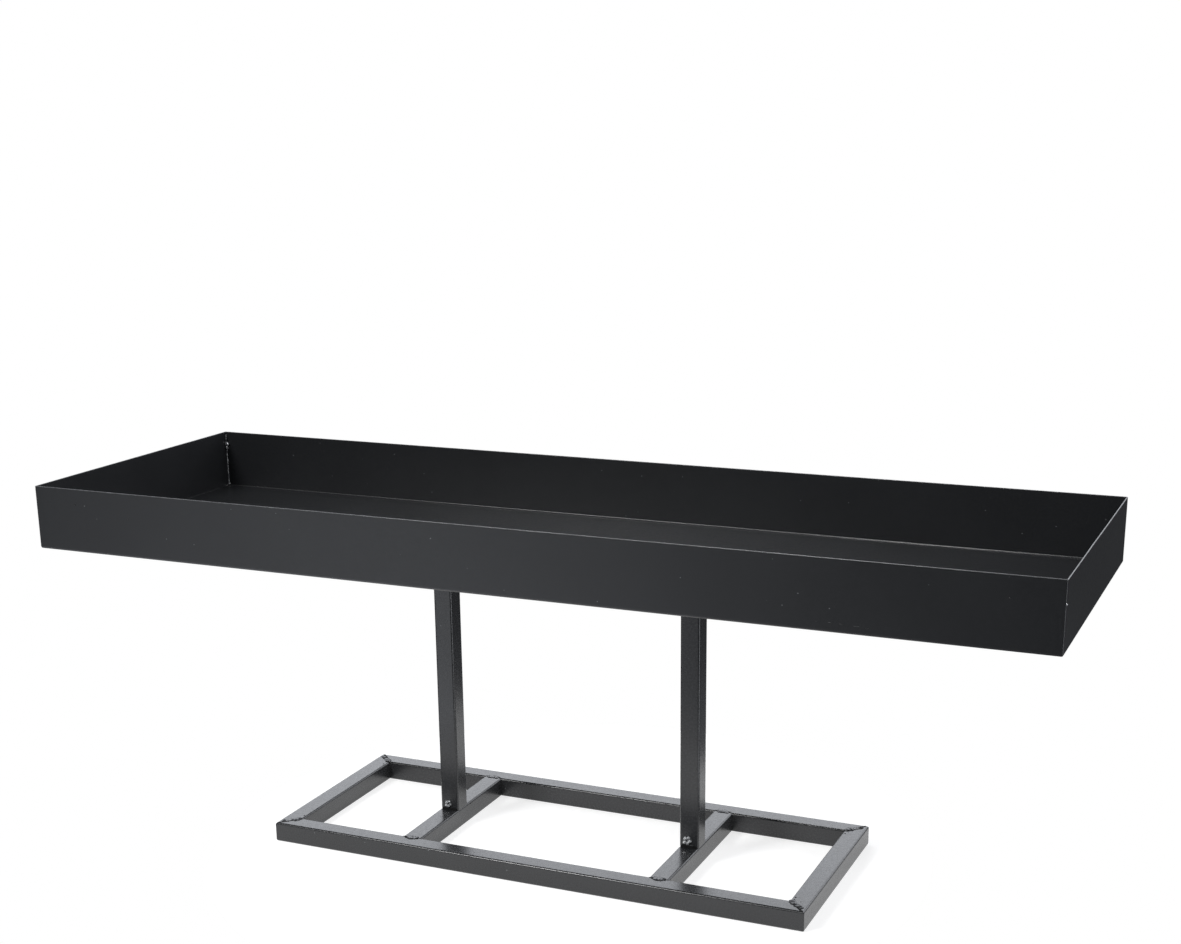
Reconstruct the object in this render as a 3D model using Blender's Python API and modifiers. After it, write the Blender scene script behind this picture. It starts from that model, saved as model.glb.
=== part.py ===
"""Raised planter on legs: a shallow folded sheet-steel tray on two square-tube posts.

The posts stand on the cross members of a welded, mitred square-tube base frame.
Metres, +Z up, X along the tray, -Y is the front. The origin is on the ground,
under the middle of the tray. Every joint is a weld, so nothing moves.
"""

import math

import bmesh
import bpy
from mathutils import Matrix, Vector

# Tray, folded from one blank
TRAY_LENGTH = 1.000  # outside, along X
TRAY_DEPTH = 0.325  # outside, along Y
TRAY_WALL = 0.063  # underside of the floor to the rim
TRAY_UNDERSIDE = 0.300  # height of the floor's underside above the ground
SHEET = 0.0012  # thickness of the sheet
FOLD_INSIDE_RADIUS = 0.0012

# Base frame and posts, all of one square tube
TUBE = 0.020  # outside width
TUBE_WALL = 0.0015
TUBE_CORNER_RADIUS = 0.002
BASE_LENGTH = 0.560
BASE_DEPTH = 0.218
POST_SPACING = 0.264  # between the posts' centre lines, along X

# Head plates, which spread each post's load under the thin floor
PLATE_WIDTH = 0.080
PLATE_THICKNESS = 0.003

# Weld beads
FOOT_FILLET_LEG = 0.0030  # at the foot of a post
HEAD_BEAD_RADIUS = 0.0015  # round the head of a post
PLATE_STITCH = 0.030  # length of a stitch that holds a plate's edge to the floor
CAP_WIDTH = 0.0045  # a bead on top of the base frame
CAP_HEIGHT = 0.0009
CAP_INSET = 0.0030  # how far a bead's end stops short of a tube's edge

# Clear space between two solids that touch on the real object
GAP = 0.0003

# Facets
CORNER_STEPS = 4  # in a tube's round corner
FOLD_STEPS = 4  # in a fold of the tray
FILLET_STEPS = 4  # across a fillet's curved face

# Worked out from the sizes above
FOLD_OUTSIDE_RADIUS = FOLD_INSIDE_RADIUS + SHEET
TRAY_FILLET_LEG = FOLD_INSIDE_RADIUS - GAP  # so that a liner still lies on the whole flat floor
PLATE_TOP = TRAY_UNDERSIDE - GAP
PLATE_UNDERSIDE = PLATE_TOP - PLATE_THICKNESS
POST_FOOT = TUBE + GAP
POST_HEAD = PLATE_UNDERSIDE - GAP

LEFT_RIGHT = (("left", -1), ("right", 1))
FRONT_BACK = (("front", -1), ("back", 1))
X_AXIS, Y_AXIS, Z_AXIS = Vector((1, 0, 0)), Vector((0, 1, 0)), Vector((0, 0, 1))


def clear_scene():
    for obj in list(bpy.data.objects):
        bpy.data.objects.remove(obj, do_unlink=True)


def make_coating(name, colour, roughness):
    """A powder coat on mild steel: not a bare metal, so its metallic value is zero."""
    material = bpy.data.materials.new(name)
    material.use_nodes = True
    shader = material.node_tree.nodes["Principled BSDF"]
    shader.inputs["Base Color"].default_value = (*colour, 1)
    shader.inputs["Roughness"].default_value = roughness
    shader.inputs["Metallic"].default_value = 0.0
    material.diffuse_color = (*colour, 1)
    return material


def turned(along, outward):
    """Turns a piece's own Z to `along` and its own Y to `outward`."""
    return Matrix((outward.cross(along), outward, along)).transposed().to_4x4()


def add_part(name, bm, material, place):
    """Makes the named object from a bmesh and puts it at `place`, under the planter's empty."""
    mesh = bpy.data.meshes.new(name)
    bm.to_mesh(mesh)
    bm.free()
    mesh.materials.append(material)
    mesh.shade_smooth()
    mesh.set_sharp_from_angle(angle=math.radians(40))
    obj = bpy.data.objects.new(name, mesh)
    parts.objects.link(obj)
    obj.parent = planter
    obj.matrix_world = place
    return obj


def rounded_square(half, radius):
    """Outline of a square with round corners, `half` from its middle to a side."""
    points = []
    for quarter in range(4):
        for step in range(CORNER_STEPS + 1):
            angle = (quarter + step / CORNER_STEPS) * math.pi / 2
            centre = Matrix.Rotation(quarter * math.pi / 2, 2) @ Vector((half - radius, half - radius))
            points.append(centre + radius * Vector((math.cos(angle), math.sin(angle))))
    return points


def fillet_section(leg):
    """Outline of a weld fillet in the corner of its own X and Y axes, with a slightly crowned face."""
    points = [Vector((0, 0))]
    for step in range(FILLET_STEPS + 1):
        share = step / FILLET_STEPS
        crown = 1 + 0.25 * math.sin(math.pi * share)
        points.append(leg * crown * Vector((1 - share, share)))
    return points


def extrude_section(outlines, length):
    """A bmesh of the closed outlines, the second one a hole, run along Z from -length/2 to length/2."""
    curve = bpy.data.curves.new("section", "CURVE")
    curve.dimensions = "2D"
    curve.fill_mode = "BOTH"
    curve.extrude = length / 2
    for outline in outlines:
        spline = curve.splines.new("POLY")
        spline.points.add(len(outline) - 1)
        for point, corner in zip(spline.points, outline):
            point.co = (corner.x, corner.y, 0, 1)
        spline.use_cyclic_u = True
    guide = bpy.data.objects.new("section", curve)
    parts.objects.link(guide)
    graph = bpy.context.evaluated_depsgraph_get()
    mesh = bpy.data.meshes.new_from_object(guide.evaluated_get(graph))
    bm = bmesh.new()
    bm.from_mesh(mesh)
    bmesh.ops.remove_doubles(bm, verts=bm.verts, dist=1e-6)
    bmesh.ops.recalc_face_normals(bm, faces=bm.faces)
    bpy.data.objects.remove(guide)
    bpy.data.curves.remove(curve)
    bpy.data.meshes.remove(mesh)
    return bm


def tube_bmesh(length):
    outside = rounded_square(TUBE / 2, TUBE_CORNER_RADIUS)
    inside = rounded_square(TUBE / 2 - TUBE_WALL, max(TUBE_CORNER_RADIUS - TUBE_WALL, TUBE_WALL / 4))
    return extrude_section([outside, inside], length)


def make_tube(name, length, place):
    return add_part(name, tube_bmesh(length), tube_coat, place)


def make_mitred_rail(name, length, place):
    """A tube cut at 45 degrees at both ends, longest on the side that its own +Y points to."""
    bm = tube_bmesh(length)
    for vert in bm.verts:
        cut = TUBE / 2 - vert.co.y + GAP / math.sqrt(2)
        vert.co.z -= math.copysign(cut, vert.co.z)
    return add_part(name, bm, tube_coat, place)


def make_base():
    """Four mitred rails round the outside, and two cross members that the posts stand on."""
    rail_x = BASE_LENGTH / 2 - TUBE / 2
    rail_y = BASE_DEPTH / 2 - TUBE / 2
    middle = TUBE / 2
    for word, side in FRONT_BACK:
        place = Matrix.Translation((0, side * rail_y, middle)) @ turned(X_AXIS * -side, Y_AXIS * side)
        make_mitred_rail(f"{word}_rail", BASE_LENGTH, place)
    for word, side in LEFT_RIGHT:
        place = Matrix.Translation((side * rail_x, 0, middle)) @ turned(Y_AXIS * side, X_AXIS * side)
        make_mitred_rail(f"{word}_end_rail", BASE_DEPTH, place)
    for word, side in LEFT_RIGHT:
        place = Matrix.Translation((side * POST_SPACING / 2, 0, middle)) @ turned(Y_AXIS, X_AXIS)
        make_tube(f"{word}_cross_member", BASE_DEPTH - 2 * TUBE - 2 * GAP, place)


def make_posts():
    """Each post stands on the middle of its cross member and carries a head plate."""
    for word, side in LEFT_RIGHT:
        x = side * POST_SPACING / 2
        middle = Matrix.Translation((x, 0, (POST_FOOT + POST_HEAD) / 2))
        make_tube(f"{word}_post", POST_HEAD - POST_FOOT, middle)
        bm = bmesh.new()
        size = Matrix.Diagonal((PLATE_WIDTH, PLATE_WIDTH, PLATE_THICKNESS, 1))
        bmesh.ops.create_cube(bm, size=1, matrix=size)
        middle = Matrix.Translation((x, 0, PLATE_TOP - PLATE_THICKNESS / 2))
        add_part(f"{word}_head_plate", bm, tube_coat, middle)


def fold_wall(bm, edge, outward):
    """Folds one wall up from an edge of the floor: the bend's arc, then straight to the rim."""
    section = []
    for step in range(FOLD_STEPS + 1):
        angle = math.pi / 2 * step / FOLD_STEPS
        section.append(FOLD_OUTSIDE_RADIUS * Vector((math.sin(angle), 1 - math.cos(angle))))
    section.append(Vector((FOLD_OUTSIDE_RADIUS, TRAY_WALL)))
    for start, end in zip(section, section[1:]):
        grown = bmesh.ops.extrude_edge_only(bm, edges=[edge])["geom"]
        verts = [item for item in grown if isinstance(item, bmesh.types.BMVert)]
        out, up = end - start
        bmesh.ops.translate(bm, verts=verts, vec=outward * out + Z_AXIS * up)
        edge = next(iter(set(verts[0].link_edges) & set(verts[1].link_edges)))


def make_tray():
    """The tray's outer skin, thickened inwards. Its walls stop where the folds start, so each
    corner is open from floor to rim until its weld closes it."""
    bm = bmesh.new()
    half_x = TRAY_LENGTH / 2 - FOLD_OUTSIDE_RADIUS
    half_y = TRAY_DEPTH / 2 - FOLD_OUTSIDE_RADIUS
    floor_size = Matrix.Diagonal((half_x, half_y, 1, 1))
    bmesh.ops.create_grid(bm, x_segments=1, y_segments=1, size=1, matrix=floor_size)
    bmesh.ops.reverse_faces(bm, faces=bm.faces)
    for edge in list(bm.edges):
        middle = (edge.verts[0].co + edge.verts[1].co) / 2
        fold_wall(bm, edge, middle.normalized())
    tray = add_part("tray", bm, sheet_coat, Matrix.Translation((0, 0, TRAY_UNDERSIDE)))
    thicken = tray.modifiers.new("sheet", "SOLIDIFY")
    thicken.thickness = SHEET
    thicken.offset = -1
    thicken.use_even_offset = True


def make_tray_corner_welds():
    """Each bead fills the open corner flush outside, down to the floor, with a fillet inside."""
    to_cut_end = FOLD_OUTSIDE_RADIUS - GAP
    to_inside_face = SHEET + GAP
    above_bend = FOLD_OUTSIDE_RADIUS + GAP
    # Measured from the tray's outer corner, in along the two walls
    outline = [Vector((0, to_cut_end)), Vector((0, 0)), Vector((to_cut_end, 0))]
    outline.append(Vector((to_cut_end, to_inside_face)))
    for point in fillet_section(TRAY_FILLET_LEG)[1:]:
        outline.append(point + Vector((to_inside_face, to_inside_face)))
    outline.append(Vector((to_inside_face, to_cut_end)))
    for y_word, y_side in FRONT_BACK:
        for x_word, x_side in LEFT_RIGHT:
            bm = extrude_section([outline], TRAY_WALL - GAP)
            for vert in bm.verts:
                # Only the outer edge reaches down to the floor; the rest stops above the bend.
                if vert.co.z < 0 and min(vert.co.x, vert.co.y) > GAP:
                    vert.co.z += above_bend - GAP
            bm.transform(Matrix.Diagonal((-x_side, -y_side, 1, 1)))
            if x_side * y_side < 0:
                # Mirroring once turns the faces inside out.
                bmesh.ops.reverse_faces(bm, faces=bm.faces)
            middle = TRAY_UNDERSIDE + (TRAY_WALL + GAP) / 2
            place = Matrix.Translation((x_side * TRAY_LENGTH / 2, y_side * TRAY_DEPTH / 2, middle))
            add_part(f"tray_{y_word}_{x_word}_corner_weld", bm, weld_coat, place)


def make_cap_bead(name, length, place):
    """A low dome along its own X, lying on a tube."""
    bm = bmesh.new()
    bmesh.ops.create_uvsphere(bm, u_segments=16, v_segments=8, radius=1)
    bmesh.ops.delete(bm, geom=[vert for vert in bm.verts if vert.co.z < -0.01], context="VERTS")
    rim = [edge for edge in bm.edges if edge.is_boundary]
    bmesh.ops.edgeloop_fill(bm, edges=rim)
    bm.transform(Matrix.Diagonal((length / 2, CAP_WIDTH / 2, CAP_HEIGHT, 1)))
    bmesh.ops.recalc_face_normals(bm, faces=bm.faces)
    add_part(name, bm, weld_coat, place)


def make_base_welds():
    """A bead along each mitre, and one across each end of a cross member."""
    level = TUBE + GAP
    for y_word, y_side in FRONT_BACK:
        for x_word, x_side in LEFT_RIGHT:
            middle = (x_side * (BASE_LENGTH - TUBE) / 2, y_side * (BASE_DEPTH - TUBE) / 2, level)
            slant = Matrix.Rotation(x_side * y_side * math.pi / 4, 4, "Z")
            length = (TUBE - 2 * CAP_INSET) * math.sqrt(2)
            make_cap_bead(f"base_{y_word}_{x_word}_corner_weld", length, Matrix.Translation(middle) @ slant)
            seam = (x_side * POST_SPACING / 2, y_side * (BASE_DEPTH / 2 - TUBE), level)
            make_cap_bead(f"{x_word}_cross_member_{y_word}_weld", TUBE - CAP_INSET, Matrix.Translation(seam))


def make_fillet(name, length, leg, place):
    add_part(name, extrude_section([fillet_section(leg)], length), weld_coat, place)


def make_head_weld(name, place):
    """A round bead that runs once round the post, under its head plate."""
    path = rounded_square(TUBE / 2 + GAP + HEAD_BEAD_RADIUS, TUBE_CORNER_RADIUS + GAP + HEAD_BEAD_RADIUS)
    curve = bpy.data.curves.new(name, "CURVE")
    curve.dimensions = "3D"
    curve.bevel_depth = HEAD_BEAD_RADIUS
    curve.bevel_resolution = 2
    spline = curve.splines.new("POLY")
    spline.points.add(len(path) - 1)
    for point, corner in zip(spline.points, path):
        point.co = (corner.x, corner.y, 0, 1)
    spline.use_cyclic_u = True
    curve.materials.append(weld_coat)
    bead = bpy.data.objects.new(name, curve)
    parts.objects.link(bead)
    bead.parent = planter
    bead.matrix_world = place


def make_post_welds():
    """Fillets at the front and back of each foot, a bead round each head, and stitches that hold
    the head plate's front and back edges to the tray."""
    for x_word, x_side in LEFT_RIGHT:
        x = x_side * POST_SPACING / 2
        for y_word, y_side in FRONT_BACK:
            # A fillet's own Y points out from the piece it climbs, and its own X up or down.
            foot = turned(X_AXIS * -y_side, Y_AXIS * y_side)
            place = Matrix.Translation((x, y_side * (TUBE / 2 + GAP), TUBE + GAP)) @ foot
            across = TUBE - 2 * TUBE_CORNER_RADIUS
            make_fillet(f"{x_word}_post_{y_word}_foot_weld", across, FOOT_FILLET_LEG, place)
            stitch = turned(X_AXIS * y_side, Y_AXIS * y_side)
            place = Matrix.Translation((x, y_side * (PLATE_WIDTH / 2 + GAP), TRAY_UNDERSIDE - GAP)) @ stitch
            make_fillet(f"{x_word}_plate_{y_word}_stitch", PLATE_STITCH, PLATE_THICKNESS, place)
        height = PLATE_UNDERSIDE - GAP - HEAD_BEAD_RADIUS
        make_head_weld(f"{x_word}_post_head_weld", Matrix.Translation((x, 0, height)))


clear_scene()
parts = bpy.data.collections.new("raised_planter")
bpy.context.scene.collection.children.link(parts)
planter = bpy.data.objects.new("planter", None)
parts.objects.link(planter)

sheet_coat = make_coating("powder_coated_sheet", (0.020, 0.021, 0.023), 0.45)
tube_coat = make_coating("powder_coated_tube", (0.030, 0.031, 0.034), 0.40)
weld_coat = make_coating("powder_coated_weld", (0.035, 0.036, 0.039), 0.35)

make_base()
make_posts()
make_tray()
make_tray_corner_welds()
make_base_welds()
make_post_welds()
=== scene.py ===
"""Raised planter on legs: the finished look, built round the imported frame.

A folded sheet-steel tray on two square-tube posts and a mitred base frame, all welded
and then powder coated black. Metres, +Z up, X along the tray, -Y is the front.
"""

import math
import random

import bmesh
import bpy
from mathutils import Matrix, Vector, noise


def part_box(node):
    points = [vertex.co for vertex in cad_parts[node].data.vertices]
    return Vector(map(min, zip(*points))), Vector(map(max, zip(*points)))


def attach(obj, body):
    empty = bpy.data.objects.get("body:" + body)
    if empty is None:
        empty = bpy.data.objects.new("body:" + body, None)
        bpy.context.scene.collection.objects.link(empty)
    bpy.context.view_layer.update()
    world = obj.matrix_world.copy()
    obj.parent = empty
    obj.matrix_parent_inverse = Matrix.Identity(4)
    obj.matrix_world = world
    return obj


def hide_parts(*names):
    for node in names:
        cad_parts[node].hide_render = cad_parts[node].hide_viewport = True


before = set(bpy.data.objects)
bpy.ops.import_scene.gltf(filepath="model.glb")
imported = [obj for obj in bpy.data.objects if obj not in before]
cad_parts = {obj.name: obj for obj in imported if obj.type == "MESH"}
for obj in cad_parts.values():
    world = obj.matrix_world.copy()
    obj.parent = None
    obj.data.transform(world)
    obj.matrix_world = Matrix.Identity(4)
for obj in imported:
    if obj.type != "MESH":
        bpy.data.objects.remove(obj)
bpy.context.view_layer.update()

MM = 0.001
X_AXIS, Y_AXIS, Z_AXIS = Vector((1, 0, 0)), Vector((0, 1, 0)), Vector((0, 0, 1))
LEFT_RIGHT = (("left", -1), ("right", 1))
FRONT_BACK = (("front", -1), ("back", 1))

# What the maker works with
SHEET = 1.2 * MM  # thickness of the tray's sheet
FOLD_INSIDE = 1.2 * MM  # inside radius of its folds
FOLD_OUTSIDE = FOLD_INSIDE + SHEET
CORNER_ROUND = 1.3 * MM  # a tray corner, welded and ground
RIM_ROUND = 0.4 * MM  # a cut edge, rubbed with a file
SHEET_BOW = 0.35 * MM  # how far welding pulls the sheet out of true
TUBE_WALL = 1.5 * MM
TUBE_ROUND = 2.0 * MM  # outside radius of a tube's corners
PLATE_ROUND = 0.5 * MM
PLATE_LIFT = 0.25 * MM  # it is pressed up against the tray when it is welded
SEAM = 0.06 * MM  # hairline between two fitted pieces

tray_low, tray_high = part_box("tray")
front_low, front_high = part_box("front_rail")
TUBE = front_high.z - front_low.z
BASE_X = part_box("right_end_rail")[1].x
BASE_Y = -front_low.y


# ---------------------------------------------------------------- finishes

# Sockets of a Mix node: of one that mixes colours, and of one that mixes plain values
MIX_A, MIX_B, MIXED = 6, 7, 2
LEVEL_A, LEVEL_B, LEVEL = 2, 3, 0

# The powder coat
CLOUD = 70 * MM  # a hand wide, from the sweep of the spray gun
SPECK_SPACING = 4.5 * MM  # between two bits of dust
SPECK_CORE, SPECK_EDGE = 0.06, 0.14  # where a speck starts and has faded, as shares of the spacing
GRAIN = 2.4 * MM  # 0.5 mm in the real coat, drawn coarser so that it still shows from a step away
GRAIN_DEPTH = 0.012 * MM
GRAIN_GLOSS = 0.03  # how far the grain takes the roughness up and down
RIM_FADE = (0.75 * MM, 0.35 * MM)  # how far under a rim the paler paint starts, and is palest
RIM_PATCH = 9 * MM  # length of the patches along a rim that are painted paler
BARE_PATCH = 2.5 * MM  # size of the pale spots: weld metal, and painted highlight
BARE_SHEEN = 0.4  # how metallic those spots are, seen through a breath of powder
CREASE_FADE = 0.15 * MM  # height over which the painted shade of an undercut fades out
# Thin powder at a cut rim, painted paler also as a painted highlight along the rim
THIN_POWDER_AND_RIM_HIGHLIGHT = "#3e3f41"
# Pale weld metal, which also stands in as a painted highlight on lumps and seams
WELD_METAL_AND_HIGHLIGHT = "#c4c6c8"
# Near-black: painted shade in the undercut at the foot of a bead
UNDERCUT_SHADE = "#0d0d0e"


def srgb(colour):
    """An sRGB hex colour as linear red, green, blue and alpha."""
    channels = [int(colour[at : at + 2], 16) / 255 for at in (1, 3, 5)]
    return (*(c / 12.92 if c <= 0.04045 else ((c + 0.055) / 1.055) ** 2.4 for c in channels), 1)


def add_node(tree, kind, sockets, **settings):
    """Adds a node with its settings, and gives each socket named a value or a link."""
    made = tree.nodes.new(kind)
    for name, value in settings.items():
        setattr(made, name, value)
    for name, value in sockets.items():
        if isinstance(value, bpy.types.NodeSocket):
            tree.links.new(value, made.inputs[name])
        else:
            made.inputs[name].default_value = value
    return made


def powder_coat(
    name, colours, speck_share, roughness, shine, peel, peel_depth, rim=None, bare_and_highlight=None, crease=None
):
    """Polyester powder, sprayed dry and baked on steel. It melts into a satin skin with a fine orange
    peel and a sandy grain, slightly cloudy where it lies thicker, with paler specks of baked-in dust.
    `colours` are those of the thin coat, the thick coat and the dust. `rim` is the height of a cut
    edge: under it the coat is painted paler in patches, partly for the powder drawn thin there and
    partly as a painted highlight along the rim. `bare_and_highlight` is how much of the skin has
    pale, part metallic spots, partly weld metal showing through and partly a painted highlight.
    Under the height `crease` it is painted near-black and matt: painted shade in the undercut at
    the foot of a bead."""
    thin_coat, thick_coat, dust = (srgb(colour) for colour in colours)
    material = bpy.data.materials.new(name)
    material.use_nodes = True
    tree = material.node_tree
    tree.nodes.clear()
    place = add_node(tree, "ShaderNodeTexCoord", {}).outputs["Object"]

    # Thicker and thinner powder
    cloud = add_node(tree, "ShaderNodeTexNoise", {"Vector": place, "Scale": 1 / CLOUD, "Detail": 4.0})
    tint = add_node(
        tree,
        "ShaderNodeMix",
        {"Factor": cloud.outputs["Fac"], MIX_A: thin_coat, MIX_B: thick_coat},
        data_type="RGBA",
    )

    # Dust specks, about half a millimetre across
    cell = add_node(tree, "ShaderNodeTexVoronoi", {"Vector": place, "Scale": 1 / SPECK_SPACING})
    near = add_node(
        tree,
        "ShaderNodeMapRange",
        {
            "Value": cell.outputs["Distance"],
            "From Min": SPECK_CORE,
            "From Max": SPECK_EDGE,
            "To Min": 1.0,
            "To Max": 0.0,
        },
    )
    channels = add_node(tree, "ShaderNodeSeparateColor", {"Color": cell.outputs["Color"]})
    picked = add_node(
        tree, "ShaderNodeMath", {0: channels.outputs["Red"], 1: speck_share}, operation="LESS_THAN"
    )
    specks = add_node(
        tree, "ShaderNodeMath", {0: near.outputs["Result"], 1: picked.outputs[0]}, operation="MULTIPLY"
    )
    specked = add_node(
        tree,
        "ShaderNodeMix",
        {"Factor": specks.outputs[0], MIX_A: tint.outputs[MIXED], MIX_B: dust},
        data_type="RGBA",
    )
    skin = specked.outputs[MIXED]

    # Sandy grain, which makes the gloss uneven
    grain = add_node(tree, "ShaderNodeTexNoise", {"Vector": place, "Scale": 1 / GRAIN, "Detail": 3.0})
    gloss = add_node(
        tree,
        "ShaderNodeMapRange",
        {
            "Value": grain.outputs["Fac"],
            "From Min": 0.3,
            "From Max": 0.7,
            "To Min": roughness - GRAIN_GLOSS,
            "To Max": roughness + GRAIN_GLOSS,
        },
    ).outputs["Result"]

    # Along the rim the coat is painted paler in patches: partly thin powder at a cut edge, partly a painted
    # highlight
    if rim is not None:
        height = add_node(tree, "ShaderNodeSeparateXYZ", {"Vector": place}).outputs["Z"]
        at_edge = add_node(
            tree,
            "ShaderNodeMapRange",
            {"Value": height, "From Min": rim - RIM_FADE[0], "From Max": rim - RIM_FADE[1]},
        )
        patchy = add_node(
            tree, "ShaderNodeTexNoise", {"Vector": place, "Scale": 1 / RIM_PATCH, "Detail": 5.0}
        )
        strength = add_node(
            tree,
            "ShaderNodeMapRange",
            {"Value": patchy.outputs["Fac"], "From Min": 0.35, "From Max": 0.65, "To Min": 0.3},
        )
        thin = add_node(
            tree,
            "ShaderNodeMath",
            {0: at_edge.outputs["Result"], 1: strength.outputs["Result"]},
            operation="MULTIPLY",
        ).outputs[0]
        edged = add_node(
            tree, "ShaderNodeMix", {"Factor": thin, MIX_A: skin, MIX_B: srgb(THIN_POWDER_AND_RIM_HIGHLIGHT)}, data_type="RGBA"
        )
        skin = edged.outputs[MIXED]

    metal = 0.0
    # Pale, part metallic spots: partly bare weld metal, partly a painted highlight
    if bare_and_highlight is not None:
        patch = add_node(
            tree, "ShaderNodeTexNoise", {"Vector": place, "Scale": 1 / BARE_PATCH, "Detail": 2.0}
        )
        # The barer the skin, the more of the noise counts as metal
        through = add_node(
            tree,
            "ShaderNodeMapRange",
            {"Value": patch.outputs["Fac"], "From Min": 0.62 - bare_and_highlight * 0.4, "From Max": 0.66},
        ).outputs["Result"]
        metal = add_node(tree, "ShaderNodeMath", {0: through, 1: BARE_SHEEN}, operation="MULTIPLY").outputs[0]
        metal_and_highlight = add_node(
            tree, "ShaderNodeMix", {"Factor": through, MIX_A: skin, MIX_B: srgb(WELD_METAL_AND_HIGHLIGHT)}, data_type="RGBA"
        )
        skin = metal_and_highlight.outputs[MIXED]

    # Painted shade: near-black and matt under the height crease, in the undercut at the foot of a bead
    if crease is not None:
        height = add_node(tree, "ShaderNodeSeparateXYZ", {"Vector": place}).outputs["Z"]
        proud = add_node(
            tree,
            "ShaderNodeMapRange",
            {"Value": height, "From Min": crease, "From Max": crease + CREASE_FADE},
        ).outputs["Result"]
        shaded = add_node(
            tree, "ShaderNodeMix", {"Factor": proud, MIX_A: srgb(UNDERCUT_SHADE), MIX_B: skin}, data_type="RGBA"
        )
        skin = shaded.outputs[MIXED]
        matt = add_node(tree, "ShaderNodeMix", {"Factor": proud, LEVEL_A: 1.0, LEVEL_B: gloss})
        gloss = matt.outputs[LEVEL]

    # Orange peel under the grain
    peel_wave = add_node(tree, "ShaderNodeTexNoise", {"Vector": place, "Scale": 1 / peel, "Detail": 2.0})
    peeled = add_node(
        tree, "ShaderNodeBump", {"Height": peel_wave.outputs["Fac"], "Strength": 1.0, "Distance": peel_depth}
    )
    sandy = add_node(
        tree,
        "ShaderNodeBump",
        {
            "Height": grain.outputs["Fac"],
            "Strength": 1.0,
            "Distance": GRAIN_DEPTH,
            "Normal": peeled.outputs["Normal"],
        },
    )
    shader = add_node(
        tree,
        "ShaderNodeBsdfPrincipled",
        {
            "Base Color": skin,
            "Roughness": gloss,
            "Metallic": metal,
            "IOR": 1.5,
            "Specular IOR Level": shine,
            "Normal": sandy.outputs["Normal"],
        },
    )
    add_node(tree, "ShaderNodeOutputMaterial", {"Surface": shader.outputs["BSDF"]})
    return material


def lit_acrylic(name, colour, glow):
    """Opal acrylic, cast and matt, lit evenly from below as a product table is: pale, with hardly any
    shadow on it. Where the sheet is a little thicker, it is faintly cloudy."""
    material = bpy.data.materials.new(name)
    material.use_nodes = True
    tree = material.node_tree
    tree.nodes.clear()
    place = add_node(tree, "ShaderNodeTexCoord", {}).outputs["Object"]
    cloud = add_node(tree, "ShaderNodeTexNoise", {"Vector": place, "Scale": 1 / (300 * MM), "Detail": 2.0})
    light = add_node(
        tree,
        "ShaderNodeMapRange",
        {"Value": cloud.outputs["Fac"], "To Min": glow * 0.98, "To Max": glow * 1.02},
    )
    shader = add_node(
        tree,
        "ShaderNodeBsdfPrincipled",
        {
            "Base Color": srgb(colour),
            "Roughness": 0.8,
            "Specular IOR Level": 0.2,
            "Emission Color": srgb("#ffffff"),
            "Emission Strength": light.outputs["Result"],
        },
    )
    add_node(tree, "ShaderNodeOutputMaterial", {"Surface": shader.outputs["BSDF"]})
    return material


sheet_coat = powder_coat(
    "powder_coated_sheet",
    ("#151618", "#1c1d1f", "#6a6c6f"),
    speck_share=0.03,
    roughness=0.31,
    shine=0.5,
    peel=4.0 * MM,
    peel_depth=0.014 * MM,
    rim=tray_high.z,
)
tube_coat = powder_coat(
    "powder_coated_tube",
    ("#1f2022", "#28292b", "#77797c"),
    speck_share=0.02,
    roughness=0.27,
    shine=0.6,
    peel=4.0 * MM,
    peel_depth=0.03 * MM,
)
# The same powder over a bead is paler and lumpier. Just over the steel it is painted near-black:
# painted shade in the undercuts round it.
weld_coat = powder_coat(
    "powder_coated_weld",
    ("#2a2b2e", "#3a3b3f", "#9a9c9f"),
    speck_share=0.10,
    roughness=0.27,
    shine=0.5,
    peel=1.5 * MM,
    peel_depth=0.05 * MM,
    crease=TUBE + 0.2 * MM,
)
# Up the tray's corners the seam is thin, steep and glossy. It is painted pale: a painted highlight
# along the seam and on its tack.
seam_coat = powder_coat(
    "powder_coated_corner_seam",
    ("#35363a", "#5a5b60", "#b0b2b5"),
    speck_share=0.20,
    roughness=0.17,
    shine=0.7,
    peel=1.5 * MM,
    peel_depth=0.08 * MM,
    bare_and_highlight=0.4,
)
# The steep lumps at the feet of the posts have pale, part metallic spots: partly bright weld metal
# showing through, partly a painted highlight. Low down by the foot they are painted near-black, as
# painted shade.
lump_coat = powder_coat(
    "foot_weld_painted_highlight_and_shade",
    ("#2a2b2e", "#4a4b4f", "#b0b2b5"),
    speck_share=0.20,
    roughness=0.24,
    shine=0.5,
    peel=1.5 * MM,
    peel_depth=0.05 * MM,
    bare_and_highlight=0.9,
    crease=TUBE + 2.2 * MM,
)
table_top = lit_acrylic("opal_acrylic", "#b0b0b0", 0.76)


# ---------------------------------------------------------------- shapes


def turned(along, outward):
    """Turns a piece's own Z to `along` and its own Y to `outward`."""
    return Matrix((outward.cross(along), outward, along)).transposed().to_4x4()


def finish_piece(name, bm, coat, node, sharp=50):
    """Makes the named piece from a bmesh, with smooth round edges between flat faces. It takes the
    place of one node of the frame. `sharp` is the angle of an edge that stays hard, in degrees."""
    mesh = bpy.data.meshes.new(name)
    bmesh.ops.recalc_face_normals(bm, faces=bm.faces)
    bm.to_mesh(mesh)
    bm.free()
    mesh.materials.append(coat)
    mesh.shade_smooth()
    mesh.set_sharp_from_angle(angle=math.radians(sharp))
    piece = bpy.data.objects.new(name, mesh)
    bpy.context.scene.collection.objects.link(piece)
    flats = piece.modifiers.new("flat_faces_stay_flat", "WEIGHTED_NORMAL")
    flats.keep_sharp = True
    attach(piece, "root")
    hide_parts(node)


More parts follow.
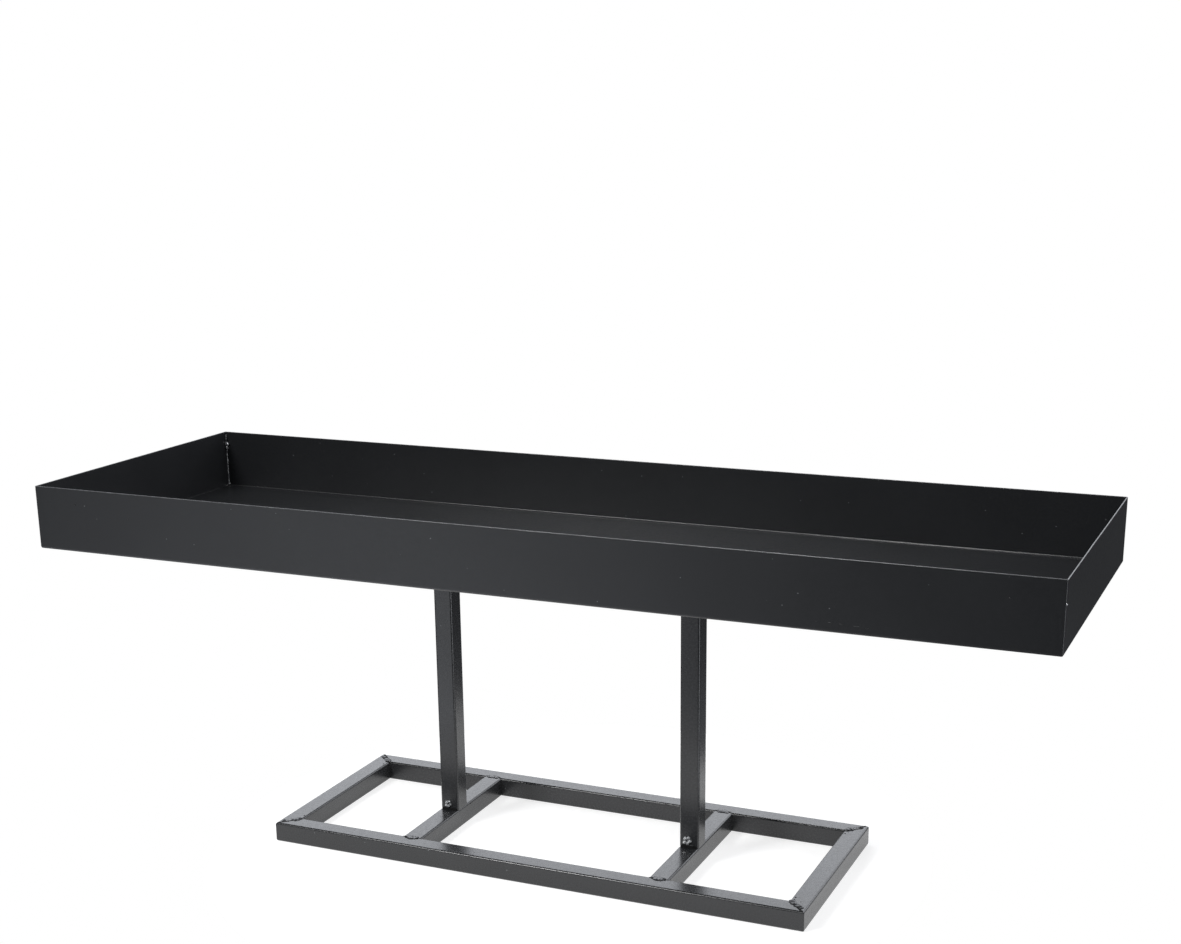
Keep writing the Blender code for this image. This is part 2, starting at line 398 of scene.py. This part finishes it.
def skin_rings(bm, rings, closed=False):
    """Bridges each ring of points to the next. Returns the rings of verts."""
    made = [[bm.verts.new(point) for point in ring] for ring in rings]
    pairs = list(zip(made, made[1:]))
    if closed:
        pairs.append((made[-1], made[0]))
    for low, high in pairs:
        for at in range(len(low)):
            after = (at + 1) % len(low)
            bm.faces.new((low[at], low[after], high[after], high[at]))
    return made


# Where the tray's faces are divided, as shares of its half size
ACROSS_X = [step / 40 for step in range(-39, 40)]
ACROSS_Y = [step / 14 for step in range(-13, 14)]
# Faces round a ground corner, round a fold, and up a wall
CORNER_STEPS = 5
FOLD_STEPS = 6
WALL_STEPS = 6

# The bow in the tray's sheet
BOW_FREE = 0.12  # how far from a fold or a corner the sheet is free to bow
LONG_WAVE, SHORT_WAVE = 6, 14  # waves in a metre
SHORT_SHARE = 0.4  # of the short wave in the long one

# The four corners of a square, in the order in which an outline runs round them
CORNERS = ((1, 1), (-1, 1), (-1, -1), (1, -1))


def tray_ring(inset, height):
    """One ring of points round the tray, `inset` in from its outside faces."""
    half = Vector((tray_high.x, tray_high.y))
    radius = max(CORNER_ROUND - inset, 0)
    centre = half - Vector((inset + radius, inset + radius))
    points = []
    for quarter, (x_side, y_side) in enumerate(CORNERS):
        for step in range(CORNER_STEPS + 1):
            angle = (quarter + step / CORNER_STEPS) * math.pi / 2
            x = x_side * centre.x + radius * math.cos(angle)
            y = y_side * centre.y + radius * math.sin(angle)
            points.append(Vector((x, y, height)))
        if quarter % 2 == 0:
            points += [Vector((-y_side * s * half.x, y_side * (half.y - inset), height)) for s in ACROSS_X]
        else:
            points += [Vector((x_side * (half.x - inset), x_side * s * half.y, height)) for s in ACROSS_Y]
    return points


def tray_section():
    """Inset and height of each ring, from the floor inside, over the rim, to the underside."""
    quarter = [math.pi / 2 * step / FOLD_STEPS for step in range(FOLD_STEPS + 1)]
    low, high = tray_low.z, tray_high.z
    centre = low + FOLD_OUTSIDE
    walls = [centre + (high - RIM_ROUND - centre) * step / WALL_STEPS for step in range(1, WALL_STEPS)]
    inside = [(FOLD_OUTSIDE - FOLD_INSIDE * math.sin(a), centre - FOLD_INSIDE * math.cos(a)) for a in quarter]
    inside += [(SHEET, height) for height in walls]
    top = high - RIM_ROUND
    rim = [(SHEET - RIM_ROUND * (1 - math.cos(a)), top + RIM_ROUND * math.sin(a)) for a in quarter]
    rim += [(RIM_ROUND * (1 - math.sin(a)), top + RIM_ROUND * math.cos(a)) for a in quarter]
    outside = [(0, height) for height in reversed(walls)]
    outside += [(FOLD_OUTSIDE * (1 - math.cos(a)), centre - FOLD_OUTSIDE * math.sin(a)) for a in quarter]
    return inside + rim + outside


def bow(point):
    """How far the sheet is pulled out of true at a point: nothing at the folds and corners, most
    in the middle of the floor and along the free rims."""
    half = Vector((tray_high.x, tray_high.y))
    to_end, to_side = half.x - abs(point.x), half.y - abs(point.y)
    along = math.sin(math.pi / 2 * min(to_end / BOW_FREE, 1))
    across = math.sin(math.pi / 2 * min(to_side / BOW_FREE, 1))
    rise = max(point.z - tray_low.z - FOLD_OUTSIDE, 0) / (tray_high.z - tray_low.z)
    wave = noise.noise(Vector((point.x * LONG_WAVE, point.y * LONG_WAVE, 2.0)))
    wave += SHORT_SHARE * noise.noise(point * SHORT_WAVE)
    if to_side < FOLD_OUTSIDE:
        return Vector((0, SHEET_BOW * wave * along * rise, 0))
    if to_end < FOLD_OUTSIDE:
        return Vector((SHEET_BOW * wave * across * rise, 0, 0))
    return Vector((0, 0, SHEET_BOW * wave * along * across))


# Grit caught under the coat of the tray's front: its place along the tray, how far under the rim, size
GRIT = (
    (-0.452, 15 * MM, 1.5 * MM),
    (-0.390, 25 * MM, 1.1 * MM),
    (0.456, 19 * MM, 1.2 * MM),
    (0.315, 41 * MM, 0.9 * MM),
    (-0.105, 33 * MM, 0.8 * MM),
)

# Scuffs low on the front, left by handling: place along the tray, height above its underside, length
SCUFFS = (
    (0.300, 8.5 * MM, 2.2 * MM),
    (0.312, 8.8 * MM, 4.0 * MM),
    (0.321, 8.2 * MM, 3.2 * MM),
    (0.334, 7.6 * MM, 5.0 * MM),
    (0.343, 6.9 * MM, 3.0 * MM),
)
SCUFF_STANDS = 0.4 * MM  # across the wall, half of it sunk
SCUFF_WIDTH = 0.7 * MM
GRIT_FLATNESS = 0.6


def make_tray():
    """The tray: one blank folded up on four sides, its corners welded and ground round."""
    bm = bmesh.new()
    section = tray_section()
    skin_rings(bm, [tray_ring(inset, height) for inset, height in section])
    for inset, height in (section[0], section[-1]):
        xs = [-tray_high.x + inset, *(s * tray_high.x for s in ACROSS_X), tray_high.x - inset]
        ys = [-tray_high.y + inset, *(s * tray_high.y for s in ACROSS_Y), tray_high.y - inset]
        rows = [[bm.verts.new((x, y, height)) for x in xs] for y in ys]
        for low, high in zip(rows, rows[1:]):
            for at in range(len(xs) - 1):
                bm.faces.new((low[at], low[at + 1], high[at + 1], high[at]))
    bmesh.ops.remove_doubles(bm, verts=bm.verts, dist=1e-6)
    bmesh.ops.dissolve_degenerate(bm, edges=bm.edges, dist=1e-7)
    for vert in bm.verts:
        vert.co += bow(vert.co)
    for seed, (x, drop, size) in enumerate(GRIT):
        place = Vector((x, -tray_high.y, tray_high.z - drop))
        drop_blob(bm, place, Vector((size, GRIT_FLATNESS * size, size)), seed)
    for seed, (x, rise, length) in enumerate(SCUFFS):
        place = Vector((x, -tray_high.y, tray_low.z + rise))
        drop_blob(bm, place, Vector((length, SCUFF_STANDS, SCUFF_WIDTH)), seed + 0.5)
    finish_piece("folded_tray", bm, sheet_coat, "tray")


TUBE_CORNER_STEPS = 7


def rounded_square(half, radius):
    """Outline of a square with round corners, `half` from its middle to a side."""
    points = []
    for quarter, (x_side, y_side) in enumerate(CORNERS):
        for step in range(TUBE_CORNER_STEPS + 1):
            angle = (quarter + step / TUBE_CORNER_STEPS) * math.pi / 2
            x = x_side * (half - radius) + radius * math.cos(angle)
            y = y_side * (half - radius) + radius * math.sin(angle)
            points.append(Vector((x, y, 0)))
    return points


def make_tube(name, length, place, mitred=False):
    """A length of welded square tube along its own Z. Mitred, it is longest on its own +Y side."""
    bm = bmesh.new()
    skins = (
        (rounded_square(TUBE / 2, TUBE_ROUND), (-1, 1)),
        (rounded_square(TUBE / 2 - TUBE_WALL, TUBE_ROUND - TUBE_WALL), (1, -1)),
    )
    rings = []
    for outline, ends in skins:
        for end in ends:
            cut = [(TUBE / 2 - point.y) if mitred else 0 for point in outline]
            rings.append([point + Z_AXIS * end * (length / 2 - c) for point, c in zip(outline, cut)])
    skin_rings(bm, rings, closed=True)
    bm.transform(place)
    finish_piece(f"{name}_tube", bm, tube_coat, name)


def make_base():
    """Four mitred rails round the outside, and two cross members that the posts stand on."""
    half = TUBE / 2
    for word, side in FRONT_BACK:
        turn = turned(X_AXIS * -side, Y_AXIS * side)
        place = Matrix.Translation((0, side * (BASE_Y - half), half)) @ turn
        make_tube(f"{word}_rail", 2 * (BASE_X - SEAM), place, mitred=True)
    for word, side in LEFT_RIGHT:
        turn = turned(Y_AXIS * side, X_AXIS * side)
        place = Matrix.Translation((side * (BASE_X - half), 0, half)) @ turn
        make_tube(f"{word}_end_rail", 2 * (BASE_Y - SEAM), place, mitred=True)
    for word, _ in LEFT_RIGHT:
        x = post_middle(word).x
        place = Matrix.Translation((x, 0, half)) @ turned(Y_AXIS, X_AXIS)
        make_tube(f"{word}_cross_member", 2 * (BASE_Y - TUBE - SEAM), place)


def post_middle(word):
    low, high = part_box(f"{word}_post")
    return (low + high) / 2


def make_posts():
    """Each post runs from its cross member up to a head plate under the tray."""
    for word, _ in LEFT_RIGHT:
        x = post_middle(word).x
        low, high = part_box(f"{word}_head_plate")
        foot, head = TUBE + SEAM, low.z - SEAM
        make_tube(f"{word}_post", head - foot, Matrix.Translation((x, 0, (foot + head) / 2)))
        bm = bmesh.new()
        size = high - low
        bmesh.ops.create_cube(bm, size=1, matrix=Matrix.Diagonal((*size, 1)))
        bmesh.ops.bevel(
            bm,
            geom=bm.edges,
            offset=PLATE_ROUND,
            offset_type="OFFSET",
            segments=4,
            profile=0.5,
            affect="EDGES",
        )
        bm.transform(Matrix.Translation((low + high) / 2 + Z_AXIS * PLATE_LIFT))
        finish_piece(f"{word}_spreader_plate", bm, tube_coat, f"{word}_head_plate")


# ---------------------------------------------------------------- welds

BEAD_SIDES = 14
BEAD_STEP = 0.3 * MM  # between two rings of points along a bead
RIPPLE_SHARE = 0.10  # of the bead's height
HEIGHT_LUMPS, EDGE_LUMPS = 260, 420  # lumps in a metre
BLOB_LUMPS = 0.22  # how far a lump is from a ball


def lay_bead(bm, line, up, width, height, sink, lumps=0.25, ripple=1.3 * MM, flat=1.0):
    """Adds one bead to the bmesh, along a line of points. It is domed towards `up`, sunk a little
    into the steel, rippled where the pool froze behind the torch, and rounded off at both ends.
    Under 1, `flat` makes the dome flatter on top and steeper at its edges."""
    lengths = [0]
    for start, end in zip(line, line[1:]):
        lengths.append(lengths[-1] + (end - start).length)
    total = lengths[-1]
    count = max(int(total / BEAD_STEP), 6)
    rings = []
    for step in range(count + 1):
        share = step / count
        at = share * total
        span = max(i for i in range(len(line) - 1) if lengths[i] <= at + 1e-9)
        part = (at - lengths[span]) / (lengths[span + 1] - lengths[span])
        centre = line[span].lerp(line[span + 1], part)
        along = (line[span + 1] - line[span]).normalized()
        side = up.cross(along).normalized()
        edge = min(share, 1 - share) * total / (width / 2)
        taper = math.sqrt(max(1 - (1 - min(edge, 1)) ** 2, 0.02))
        swell = 1 + lumps * noise.noise(centre * HEIGHT_LUMPS)
        swell += RIPPLE_SHARE * math.sin(2 * math.pi * at / ripple)
        ring = []
        for turn in range(BEAD_SIDES):
            angle = 2 * math.pi * turn / BEAD_SIDES
            out, rise = math.cos(angle), math.sin(angle)
            out = math.copysign(abs(out) ** flat, out)
            rise = math.copysign(abs(rise) ** flat, rise)
            depth = height * swell if rise > 0 else sink
            wander = 1 + lumps * 0.6 * noise.noise((centre + side * out * width) * EDGE_LUMPS)
            ring.append(centre + (side * out * width / 2 * wander + up * rise * depth) * taper)
        rings.append(ring)
    made = skin_rings(bm, rings)
    for ring in (made[0], made[-1]):
        bm.faces.new(ring)


def drop_blob(bm, centre, size, seed):
    """Adds one lump of weld metal or spatter, `size` in X, Y and Z."""
    ball = bmesh.ops.create_icosphere(bm, subdivisions=3, radius=0.5)["verts"]
    for vert in ball:
        swell = 1 + BLOB_LUMPS * noise.noise(vert.co * 3 + Vector((seed, 0, 0)))
        vert.co = centre + Vector([a * b * swell for a, b in zip(vert.co, size)])


def make_weld(name, beads, blobs, node, coat=weld_coat):
    """One named weld: its beads, given as lay_bead's values by name, and its lumps."""
    bm = bmesh.new()
    for bead in beads:
        lay_bead(bm, **bead)
    for seed, (centre, size) in enumerate(blobs):
        drop_blob(bm, centre, size, seed + 7.3)
    finish_piece(name, bm, coat, node, sharp=80)


def spatter(draw, middle, spread, count, biggest):
    """Little balls that the arc threw out round a weld, and that froze half sunk in the steel."""
    blobs = []
    for _ in range(count):
        size = biggest * draw.uniform(0.35, 1)
        offset = Vector([draw.gauss(0, 0.5) * reach for reach in spread])
        blobs.append((middle + offset, Vector((size, size, size))))
    return blobs


# What lay_bead is given for each kind of bead, besides its line and direction
CORNER_SEAM = dict(width=1.5 * MM, height=0.7 * MM, sink=0.4 * MM, lumps=1.2, ripple=3.0 * MM)
GROUND_BEAD = dict(width=6 * MM, height=0.35 * MM, sink=0.3 * MM, lumps=1.0)
PROUD_BEAD = dict(width=7.0 * MM, height=1.0 * MM, sink=0.6 * MM, lumps=0.8, ripple=2.4 * MM, flat=0.7)
# A flat strip beside a bead, low enough to be painted near-black all over: a painted shade line at the bead's
# edge
UNDERCUT_SHADE_STRIP = dict(width=2.4 * MM, height=0.12 * MM, sink=0.3 * MM, lumps=0.6, ripple=2.0 * MM, flat=0.7)
END_BEAD = dict(width=4.6 * MM, height=0.9 * MM, sink=0.9 * MM, lumps=0.6, ripple=2.0 * MM, flat=0.8)
END_TONGUE = dict(width=5.4 * MM, height=0.7 * MM, sink=0.3 * MM, lumps=0.5, ripple=3.0 * MM, flat=0.5)
FOOT_BEAD = dict(width=4.4 * MM, height=1.2 * MM, sink=1.0 * MM, lumps=0.6)
STITCH_BEAD = dict(width=3.8 * MM, height=0.8 * MM, sink=1.2 * MM, lumps=0.25)
HEAD_BEAD = dict(width=4.0 * MM, height=1.8 * MM, sink=0.3 * MM, lumps=0.3)

# Lumps, and flat spots low enough to be painted near-black as the shade in pits, with their sizes in
# X, Y and Z in millimetres. On a base corner: how far from the inner corner towards the outer one,
# and how far aside.
CORNER_LUMPS = (
    (0.10, 0.9, (6.4, 5.6, 2.2)),
    (0.40, 1.0, (5.2, 5.0, 1.6)),
    (0.16, -2.0, (3.0, 2.6, 0.3)),
    (0.30, 2.6, (2.4, 2.0, 0.3)),
)
# At a cross member's end, flat spots painted near-black as the shade in pits: how far along the
# tongue from its middle, and how far beyond it
END_SHADE_SPOTS = (
    (-1.2, -0.4, (3.4, 2.4, 0.3)),
    (0.95, 0.2, (2.8, 2.2, 0.3)),
    (0.1, 1.0, (2.6, 2.0, 0.3)),
)
# On the face of a post, over its foot: aside, height and size in millimetres
FOOT_LUMPS = ((-3.6, 4.2, 3.4), (-3.0, 7.6, 3.4), (-0.2, 8.6, 3.0), (0.8, 5.6, 3.2), (-1.2, 3.6, 2.8))


def make_tray_welds():
    """A thin fillet up the inside of each corner, with a tack near the top that held it for welding."""
    draw = random.Random(3)
    floor = tray_low.z + SHEET
    for y_word, y_side in FRONT_BACK:
        for x_word, x_side in LEFT_RIGHT:
            corner = Vector((x_side * (tray_high.x - SHEET), y_side * (tray_high.y - SHEET), 0))
            up = Vector((-x_side, -y_side, 0)).normalized()
            line = [corner + Z_AXIS * (floor + 1 * MM), corner + Z_AXIS * (tray_high.z - 3 * MM)]
            tack = corner + up * 2.4 * MM + Z_AXIS * (tray_high.z - 14 * MM)
            # The tack, a run of it below, and a lump where the seam meets the floor
            blobs = [
                (tack, Vector((4.6, 4.6, 5.6)) * MM),
                (tack + Vector((0, 0, -4.2 * MM)), Vector((3.0, 3.0, 3.6)) * MM),
                (corner + up * 0.8 * MM + Z_AXIS * (floor + 2 * MM), Vector((2.6, 2.6, 2.0)) * MM),
            ]
            blobs += spatter(draw, tack, (2 * MM, 2 * MM, 5 * MM), 4, 0.8 * MM)
            if (x_word, y_word) == ("right", "front"):
                # One ball of spatter that the grinder missed on the outside
                missed = Vector((tray_high.x, -tray_high.y, tray_high.z - 20 * MM))
                blobs.append((missed, Vector((1, 1, 1)) * 1.6 * MM))
            name = f"tray_{y_word}_{x_word}_corner"
            seam = dict(CORNER_SEAM, line=line, up=up)
            make_weld(f"{name}_seam", [seam], blobs, f"{name}_weld", seam_coat)


def make_base_welds():
    """A bead on each mitre, ground back on its outer part and left proud by the inner corner, and
    one across each end of a cross member, which runs a tongue out on the rail."""
    draw = random.Random(5)
    for y_word, y_side in FRONT_BACK:
        for x_word, x_side in LEFT_RIGHT:
            outer = Vector((x_side * (BASE_X - 2.5 * MM), y_side * (BASE_Y - 2.5 * MM), TUBE))
            inner = Vector((x_side * (BASE_X - TUBE + 1.2 * MM), y_side * (BASE_Y - TUBE + 1.2 * MM), TUBE))
            aside = Vector((0, -y_side, 0)) * 1.5 * MM  # the ground part lies more on the end rail
            knee = outer.lerp(inner, 0.62)  # where the grinder stopped
            beads = [
                dict(GROUND_BEAD, line=[outer.lerp(inner, 0.1) + aside, knee + aside], up=Z_AXIS),
                dict(PROUD_BEAD, line=[knee, inner], up=Z_AXIS),
                dict(
                    UNDERCUT_SHADE_STRIP,
                    line=[outer - aside * 0.9, knee - aside * 0.9, inner - aside * 1.1],
                    up=Z_AXIS,
                ),
            ]
            blobs = []
            for share, off, size in CORNER_LUMPS:
                blobs.append((inner.lerp(outer, share) + aside * off, Vector(size) * MM))
            # A flat spot painted near-black as the shade in a pit, by itself, out on the end rail
            stray_shade_spot = inner + X_AXIS * x_side * 2.0 * MM - Y_AXIS * y_side * 9 * MM
            blobs.append((stray_shade_spot, Vector((1.8, 2.2, 0.3)) * MM))
            blobs += spatter(draw, inner.lerp(outer, 0.10), (6 * MM, 6 * MM, 0), 6, 1.2 * MM)
            name = f"base_{y_word}_{x_word}_corner"
            make_weld(f"{name}_bead", beads, blobs, f"{name}_weld")
            x = post_middle(x_word).x
            seam = Vector((x, y_side * (BASE_Y - TUBE), TUBE - 0.3 * MM))
            reach = X_AXIS * (TUBE / 2 - 3.2 * MM)
            out = seam + Y_AXIS * y_side * 2.4 * MM + Z_AXIS * 0.3 * MM  # middle of the tongue
            edge = Y_AXIS * y_side * 2.2 * MM
            bend = Y_AXIS * y_side * 0.8 * MM
            skirt = [
                out - reach * 1.05,
                out - reach * 0.4 + edge,
                out + edge + bend,
                out + reach * 0.5 + edge,
            ]
            beads = [
                dict(END_BEAD, line=[seam - reach, seam + reach], up=Z_AXIS),
                dict(END_TONGUE, line=[out - reach * 0.8, out + reach * 0.8], up=Z_AXIS),
                dict(UNDERCUT_SHADE_STRIP, line=skirt, up=Z_AXIS),
            ]
            blobs = []
            for along, beyond, size in END_SHADE_SPOTS:
                blobs.append((out + reach * along + edge * beyond, Vector(size) * MM))
            blobs += spatter(draw, seam, (8 * MM, 5 * MM, 0), 4, 0.9 * MM)
            name = f"{x_word}_cross_member_{y_word}"
            make_weld(f"{name}_bead", beads, blobs, f"{name}_weld")


def make_post_welds():
    """Lumpy beads at the front and back of each foot, a rippled bead round each head, and stitches
    that hold the spreader plate to the tray's floor."""
    draw = random.Random(11)
    half = TUBE / 2
    for x_word, _ in LEFT_RIGHT:
        x = post_middle(x_word).x
        plate_low, plate_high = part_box(f"{x_word}_head_plate")
        for y_word, y_side in FRONT_BACK:
            out = Y_AXIS * y_side
            foot = Vector((x, 0, TUBE)) + out * half
            reach = X_AXIS * (half - 1.6 * MM)
            up = (out + Z_AXIS).normalized()
            root = foot + up * 0.8 * MM
            bead = dict(FOOT_BEAD, line=[root - reach, root + reach], up=up)
            larger = 1.2 if x_word == "right" else 1.0
            blobs = []
            for aside, rise, size in FOOT_LUMPS:
                middle = foot + Vector((aside, 0, rise)) * MM * larger + out * 0.5 * MM
                blobs.append((middle, Vector((size, 0.8 * size, size)) * MM * larger))
            blobs += spatter(draw, foot + out * 2 * MM, (7 * MM, 2.5 * MM, 0), 7, 1.1 * MM)
            name = f"{x_word}_post_{y_word}_foot"
            make_weld(f"{name}_bead", [bead], blobs, f"{name}_weld", lump_coat)
            edge = Vector((x, y_side * plate_high.y, tray_low.z))
            stitch = X_AXIS * (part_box(f"{x_word}_plate_{y_word}_stitch")[1].x - x)
            down = (out - Z_AXIS).normalized()
            edge += down * 1.5 * MM
            bead = dict(STITCH_BEAD, line=[edge - stitch, edge + stitch], up=down)
            name = f"{x_word}_plate_{y_word}"
            make_weld(f"{name}_stitch_bead", [bead], [], f"{name}_stitch")
        ring = rounded_square(half + 0.3 * MM, TUBE_ROUND + 0.3 * MM)
        line = [point + Vector((x, 0, plate_low.z - 0.4 * MM)) for point in ring]
        line += line[:2]  # its end laps over its start
        name = f"{x_word}_post_head"
        make_weld(f"{name}_bead", [dict(HEAD_BEAD, line=line, up=-Z_AXIS)], [], f"{name}_weld")


make_tray()
make_base()
make_posts()
make_tray_welds()
make_base_welds()
make_post_welds()


# ---------------------------------------------------------------- studio

TABLE_RADIUS = 0.36
TABLE_DROP = 0.1 * MM  # clear of the rails' undersides

# How bright the studio's walls are; white is 1
BACK_WALL = 3.0  # a band that the tops of the base mirror
BACK_WALL_TOP = 0.10  # over that band
BACK_WALL_FOOT = 0.8  # under it, where the tray's floor mirrors the wall
FRONT_WALL = 0.14  # the open room on the camera's side
LEFT_CARD = 1.80  # low on the left: it fades out along the tray's front
CARD_SIDE = 0.02  # beyond that card's edge
RIGHT_CARD = 0.85  # low on the right: soft light from that side
LOW_CARD = 0.6  # lower still on the left, for the fronts of the posts
EDGE_STRIP = 4.5  # a thin lit strip on the right: it draws a bright line down each upright corner
FAR_LOW, FAR_HIGH = 0.35, 0.05  # the room's floor behind the table, and the dim part over it

# Where a wall or card fades into what is next to it: the axis of the way there, where on that axis
# it starts and ends, and its value at either end
FADES = {
    "back_wall_band": ("Z", 0.42, 0.62, BACK_WALL, BACK_WALL_TOP),
    "over_foot": ("Z", 0.22, 0.30, 0, 1),
    "front_to_back": ("Y", -0.15, 0.25, 0, 1),
    "left_card_start": ("X", -0.67, -0.51, 0, 1),
    "left_card_end": ("X", -0.50, -0.28, LEFT_CARD, CARD_SIDE),
    "right_card": ("X", 0.40, 0.80, 0, RIGHT_CARD),
    "low_card": ("X", -0.30, -0.05, LOW_CARD, 0),
    "low_card_top": ("Z", -0.36, -0.31, 1, 0),
    "strip_start": ("X", 0.80, 0.84, 0, EDGE_STRIP),
    "strip_end": ("X", 0.89, 0.93, 1, 0),
    "far": ("Z", -0.38, -0.28, FAR_LOW, FAR_HIGH),
    "near_to_far": ("Y", -0.2, 0.2, 0, 1),
    "below_to_above": ("Z", -0.06, 0.02, 0, 1),
}

# Softboxes: place, what it points at, width and depth, watts
SOFTBOXES = {
    "top_softbox": ((0.09, 0.10, 1.00), (0.12, 0.12, 0.30), (0.8, 0.10), 7.5),
    "left_softbox": ((-0.85, -1.45, 1.55), (0, 0, 0.1), (0.5, 0.5), 31),
    "right_softbox": ((0.90, -1.20, 1.70), (0, 0, 0.1), (0.3, 0.3), 7),
}


def make_floor():
    """A round white table top under the planter."""
    bm = bmesh.new()
    bmesh.ops.create_circle(bm, cap_ends=True, radius=TABLE_RADIUS, segments=96)
    mesh = bpy.data.meshes.new("studio_floor")
    bm.to_mesh(mesh)
    bm.free()
    mesh.materials.append(table_top)
    floor = bpy.data.objects.new("studio_floor", mesh)
    floor.location.z = -TABLE_DROP
    bpy.context.scene.collection.objects.link(floor)


def make_softbox(name, place, target, size, power):
    lamp = bpy.data.lights.new(name, "AREA")
    lamp.shape = "RECTANGLE"
    lamp.size, lamp.size_y = size
    lamp.energy = power
    box = bpy.data.objects.new(name, lamp)
    box.location = place
    box.visible_camera = False
    box.rotation_euler = (Vector(target) - Vector(place)).to_track_quat("-Z", "Y").to_euler()
    bpy.context.scene.collection.objects.link(box)


def make_surround():
    """The studio's walls: white all round to look at. What they shed is bright low down behind the
    planter, dim above that and in front where the room is open, and bright low on the left."""
    world = bpy.data.worlds.new("studio")
    bpy.context.scene.world = world
    world.use_nodes = True
    tree = world.node_tree
    tree.nodes.clear()
    way = add_node(tree, "ShaderNodeTexCoord", {}).outputs["Generated"]
    part = add_node(tree, "ShaderNodeSeparateXYZ", {"Vector": way})
    fade = {}
    for name, (axis, start, end, first, last) in FADES.items():
        fade[name] = add_node(
            tree,
            "ShaderNodeMapRange",
            {
                "Value": part.outputs[axis],
                "From Min": start,
                "From Max": end,
                "To Min": first,
                "To Max": last,
            },
            interpolation_type="SMOOTHSTEP",
        ).outputs["Result"]

    # Over the table's height: the open room in front, and the back wall
    back_wall = add_node(
        tree,
        "ShaderNodeMix",
        {"Factor": fade["over_foot"], LEVEL_A: BACK_WALL_FOOT, LEVEL_B: fade["back_wall_band"]},
    ).outputs[LEVEL]
    above = add_node(
        tree,
        "ShaderNodeMix",
        {"Factor": fade["front_to_back"], LEVEL_A: FRONT_WALL, LEVEL_B: back_wall},
    ).outputs[LEVEL]

    # Under it: the cards in front, added up, and the room's floor behind
    cards = fade["right_card"]
    for first, second in (
        ("left_card_start", "left_card_end"),
        ("low_card_top", "low_card"),
        ("strip_start", "strip_end"),
    ):
        card = add_node(tree, "ShaderNodeMath", {0: fade[first], 1: fade[second]}, operation="MULTIPLY")
        cards = add_node(tree, "ShaderNodeMath", {0: cards, 1: card.outputs[0]}, operation="ADD").outputs[0]
    below = add_node(
        tree, "ShaderNodeMix", {"Factor": fade["near_to_far"], LEVEL_A: cards, LEVEL_B: fade["far"]}
    ).outputs[LEVEL]

    shed = add_node(
        tree, "ShaderNodeMix", {"Factor": fade["below_to_above"], LEVEL_A: below, LEVEL_B: above}
    ).outputs[LEVEL]
    seen = add_node(tree, "ShaderNodeLightPath", {}).outputs["Is Camera Ray"]
    strength = add_node(tree, "ShaderNodeMix", {"Factor": seen, LEVEL_A: shed, LEVEL_B: 1.0})
    tint = add_node(
        tree,
        "ShaderNodeMix",
        {"Factor": seen, MIX_A: srgb("#f3f6fc"), MIX_B: srgb("#ffffff")},
        data_type="RGBA",
    )
    glow = add_node(
        tree,
        "ShaderNodeBackground",
        {"Color": tint.outputs[MIXED], "Strength": strength.outputs[LEVEL]},
    )
    add_node(tree, "ShaderNodeOutputWorld", {"Surface": glow.outputs["Background"]})


def make_camera():
    """A long lens from the front right, a little above the tray and a hair out of level."""
    turn, rise, roll = 0.416403, 0.295504, -0.011391
    aim, distance = Vector((0, 0, 0.150)), 1.7907
    aside, lift = 0.02255, 0.05167
    back = Vector((math.sin(turn) * math.cos(rise), -math.cos(turn) * math.cos(rise), math.sin(rise)))
    right = Vector((math.cos(turn), math.sin(turn), 0))
    up = back.cross(right)
    place = aim + right * aside + up * lift + back * distance
    level = Matrix((right, up, back)).transposed()
    data = bpy.data.cameras.new("camera")
    data.sensor_width = 36
    data.lens = 55.11
    data.shift_y = 0.1507
    data.clip_end = 20
    camera = bpy.data.objects.new("camera", data)
    camera.matrix_world = Matrix.Translation(place) @ (level @ Matrix.Rotation(roll, 3, "Z")).to_4x4()
    bpy.context.scene.collection.objects.link(camera)
    bpy.context.scene.camera = camera


make_floor()
for softbox, settings in SOFTBOXES.items():
    make_softbox(softbox, *settings)
make_surround()
make_camera()
bpy.context.scene.view_settings.view_transform = "Standard"
